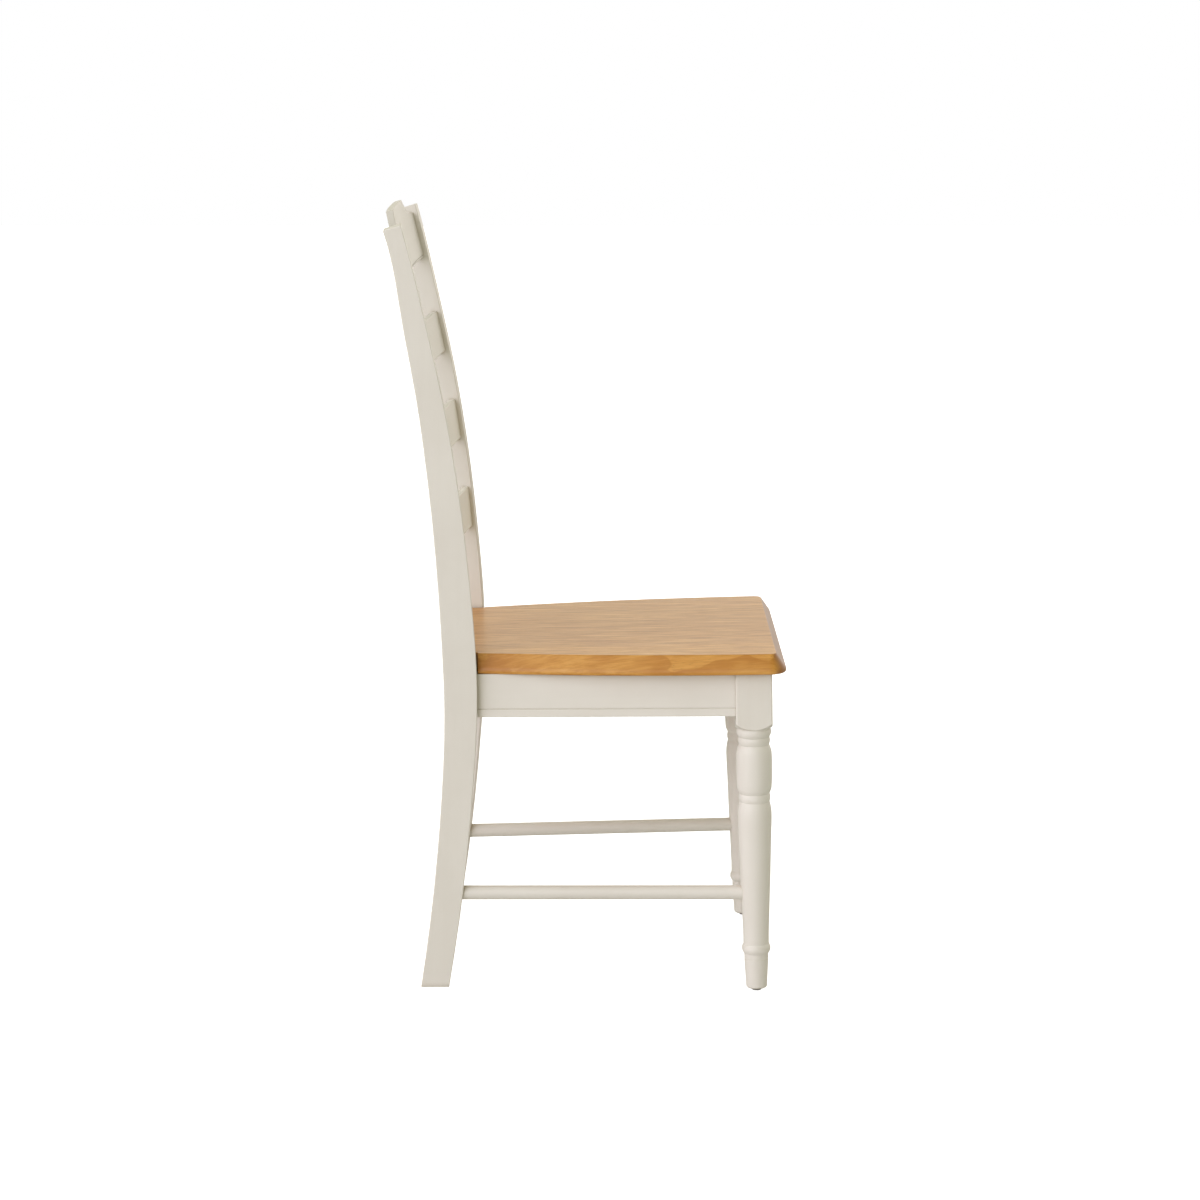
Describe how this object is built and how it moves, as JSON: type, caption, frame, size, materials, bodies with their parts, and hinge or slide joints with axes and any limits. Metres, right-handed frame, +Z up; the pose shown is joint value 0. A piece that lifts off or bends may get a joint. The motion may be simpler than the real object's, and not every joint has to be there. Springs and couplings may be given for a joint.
{
  "type": "ladderback dining chair",
  "caption": "Ladderback side chair: bowed slats and a raised crest rail between swept rear posts, turned front legs, round side stretchers and a solid oak seat on a painted frame.",
  "frame": {"origin": "on the floor, under the centre of the chair's overall box", "axes": "+Z up from the floor, -Y is the chair's front where the sitter's knees are, +Y its back, +X to the sitter's left"},
  "size_m": [0.4556, 0.5346, 1.0489],
  "materials": {
    "frame_paint": "satin off-white paint over close-grained hardwood",
    "seat_oak": "clear satin lacquer over oak, grain from front to back",
    "bare_beech": "unfinished sawn beech",
    "zinc_steel": "zinc plated",
    "glide_nylon": "moulded, matt"
  },
  "bodies": {
    "root": {"rear_post_right": "frame_paint", "rear_post_left": "frame_paint", "front_leg_right": "frame_paint", "front_leg_left": "frame_paint", "side_seat_rail_right": "frame_paint", "side_seat_rail_left": "frame_paint", "front_seat_rail": "frame_paint", "back_seat_rail": "frame_paint", "side_stretcher_right": "frame_paint", "side_stretcher_left": "frame_paint", "lower_slat": "frame_paint", "middle_slat": "frame_paint", "upper_slat": "frame_paint", "crest_rail": "frame_paint", "seat_board_right_outer": "seat_oak", "seat_board_right_inner": "seat_oak", "seat_board_centre": "seat_oak", "seat_board_left_inner": "seat_oak", "seat_board_left_outer": "seat_oak", "corner_block_front_right": "bare_beech", "corner_block_front_left": "bare_beech", "corner_block_back_right": "bare_beech", "corner_block_back_left": "bare_beech", "corner_block_screws": "zinc_steel", "seat_screws": "zinc_steel", "front_joint_dowels": "bare_beech", "back_joint_dowels": "bare_beech", "front_foot_glides": "glide_nylon"}
  },
  "joints": []
}
